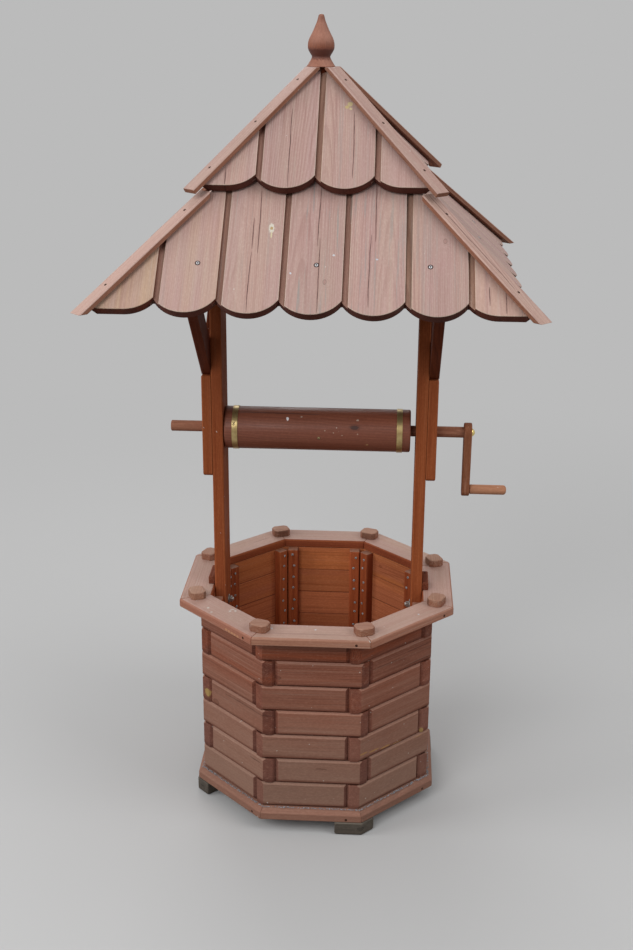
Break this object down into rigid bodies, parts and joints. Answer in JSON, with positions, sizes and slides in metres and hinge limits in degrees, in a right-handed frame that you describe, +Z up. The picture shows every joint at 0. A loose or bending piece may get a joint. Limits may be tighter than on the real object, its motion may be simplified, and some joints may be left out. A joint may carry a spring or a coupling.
{
  "type": "wishing well planter",
  "caption": "Octagonal timber wishing well planter with stacked board wall, flat rim, two posts, a cranked windlass and a square two-tier roof of scalloped boards with finial.",
  "frame": {"origin": "centre of the footprint on the ground", "axes": "+X towards the crank side, -Y towards the front of the well, +Z up"},
  "size_m": [0.8478, 0.8478, 1.66],
  "materials": {
    "roof_wood": "weathered",
    "frame_wood": "stained",
    "wall_wood": "stained",
    "dark_wood": "weathered",
    "brass": "satin",
    "steel": "satin"
  },
  "bodies": {
    "well": {"base_ring_boards": "wall_wood", "bearing_cheek_left": "frame_wood", "bearing_cheek_right": "frame_wood", "brace_left_front": "frame_wood", "brace_left_rear": "frame_wood", "brace_right_front": "frame_wood", "brace_right_rear": "frame_wood", "corner_battens": "wall_wood", "crown_block": "frame_wood", "eave_rails": "frame_wood", "feet": "dark_wood", "finial": "frame_wood", "floor_slats": "wall_wood", "hip_rafters": "frame_wood", "lower_hip_batten_back_left": "roof_wood", "lower_hip_batten_back_right": "roof_wood", "lower_hip_batten_front_left": "roof_wood", "lower_hip_batten_front_right": "roof_wood", "lower_roof_back": "roof_wood", "lower_roof_front": "roof_wood", "lower_roof_left": "roof_wood", "lower_roof_right": "roof_wood", "mid_rails": "frame_wood", "post_bolt_nuts": "steel", "post_bolts": "steel", "post_cleat_left": "frame_wood", "post_cleat_right": "frame_wood", "post_left": "frame_wood", "post_right": "frame_wood", "rim_blocks": "frame_wood", "rim_boards": "frame_wood", "upper_hip_batten_back_left": "roof_wood", "upper_hip_batten_back_right": "roof_wood", "upper_hip_batten_front_left": "roof_wood", "upper_hip_batten_front_right": "roof_wood", "upper_roof_back": "roof_wood", "upper_roof_front": "roof_wood", "upper_roof_left": "roof_wood", "upper_roof_packers": "roof_wood", "upper_roof_right": "roof_wood", "wall_course_1": "wall_wood", "wall_course_2": "wall_wood", "wall_course_3": "wall_wood", "wall_course_4": "wall_wood", "wall_course_5": "wall_wood", "wall_course_6": "wall_wood", "wall_course_7": "wall_wood"},
    "windlass": {"windlass_drum": "frame_wood", "windlass_axle": "frame_wood", "brass_bands": "brass", "crank_arm": "frame_wood", "crank_handle": "frame_wood", "crank_screw": "steel"}
  },
  "joints": [
    {"name": "windlass_turn", "type": "hinge", "parent": "well", "child": "windlass", "pos_m": [0, 0, 0.828], "axis": [1, 0, 0], "continuous": true}
  ]
}
